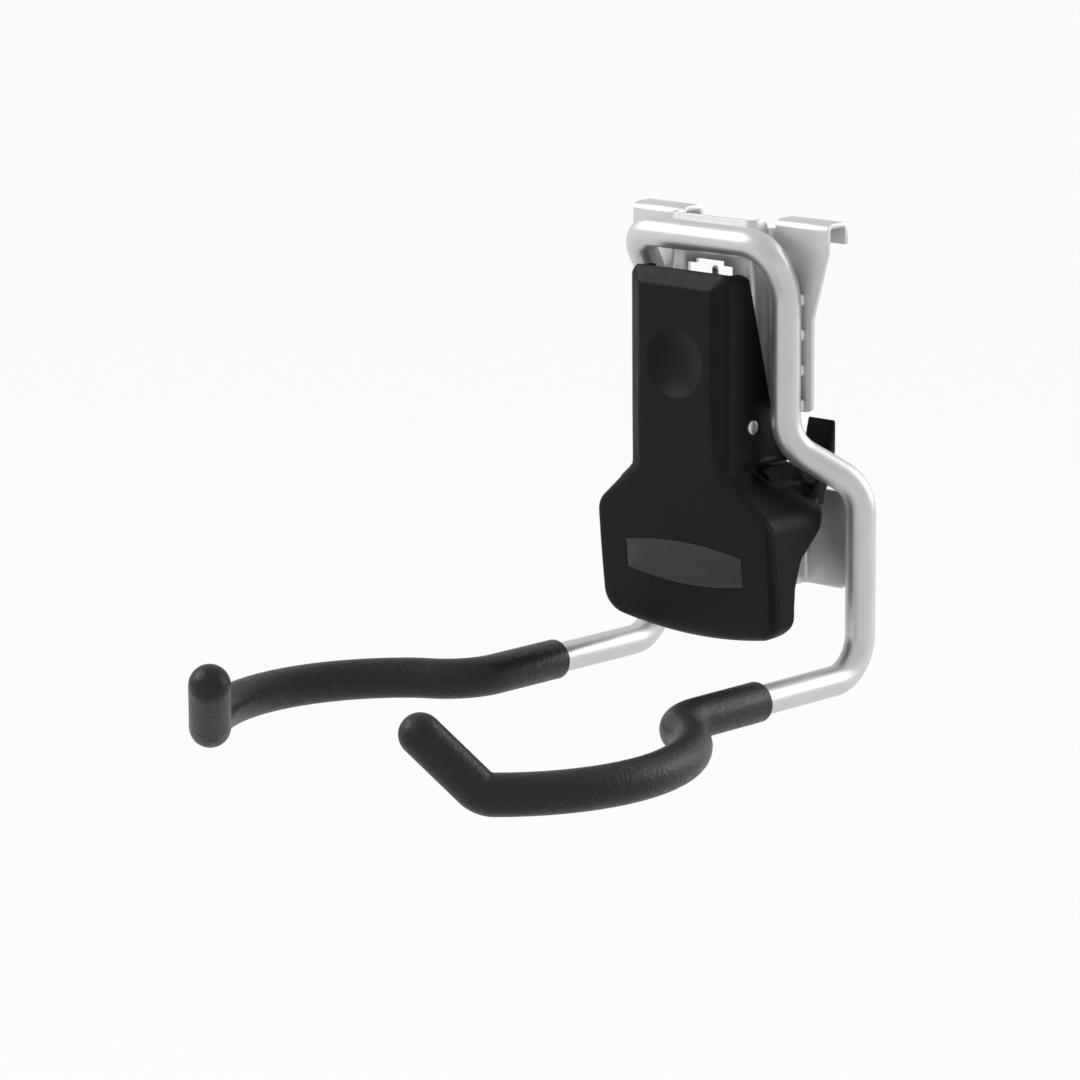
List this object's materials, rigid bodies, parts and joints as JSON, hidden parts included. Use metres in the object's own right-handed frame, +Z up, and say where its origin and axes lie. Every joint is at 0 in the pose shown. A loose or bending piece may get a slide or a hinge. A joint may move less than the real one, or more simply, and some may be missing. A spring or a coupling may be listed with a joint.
{
  "type": "power tool hook",
  "caption": "Bent steel rod cradle with soft grips, welded to a folded bracket that hangs on a wall rail and is locked there by a sprung black latch lever",
  "frame": {"origin": "middle of the slot under the two rail lips, on the underside of the lips", "axes": "+X to the right along the rail, +Y toward the wall and the longest extent, +Z up"},
  "size_m": [0.1668, 0.211, 0.1498],
  "materials": {
    "satin_rod": "satin silver powder coat",
    "satin_sheet": "satin silver powder coat",
    "weld_metal": "coated weld bead",
    "soft_grip": "pebbled soft vinyl",
    "black_moulding": "fine satin moulding",
    "grey_panel": "satin inlay",
    "bright_pin": "turned end",
    "spring_wire": "drawn wire"
  },
  "bodies": {
    "hook": {"rod_frame": "satin_rod", "grip_right": "soft_grip", "grip_left": "soft_grip", "bracket": "satin_sheet", "weld_beads": "weld_metal", "torsion_spring": "spring_wire"},
    "lever": {"latch_lever": "black_moulding", "badge_panel": "grey_panel", "pivot_pin": "bright_pin"}
  },
  "joints": [
    {"name": "latch_pivot", "type": "hinge", "parent": "hook", "child": "lever", "pos_m": [0, -0.0165, -0.0625], "axis": [-1, 0, 0], "range_deg": [0, 12], "stiffness_Nm_per_rad": 0.8, "springref_deg": -11.46, "deforming": ["torsion_spring"]}
  ]
}
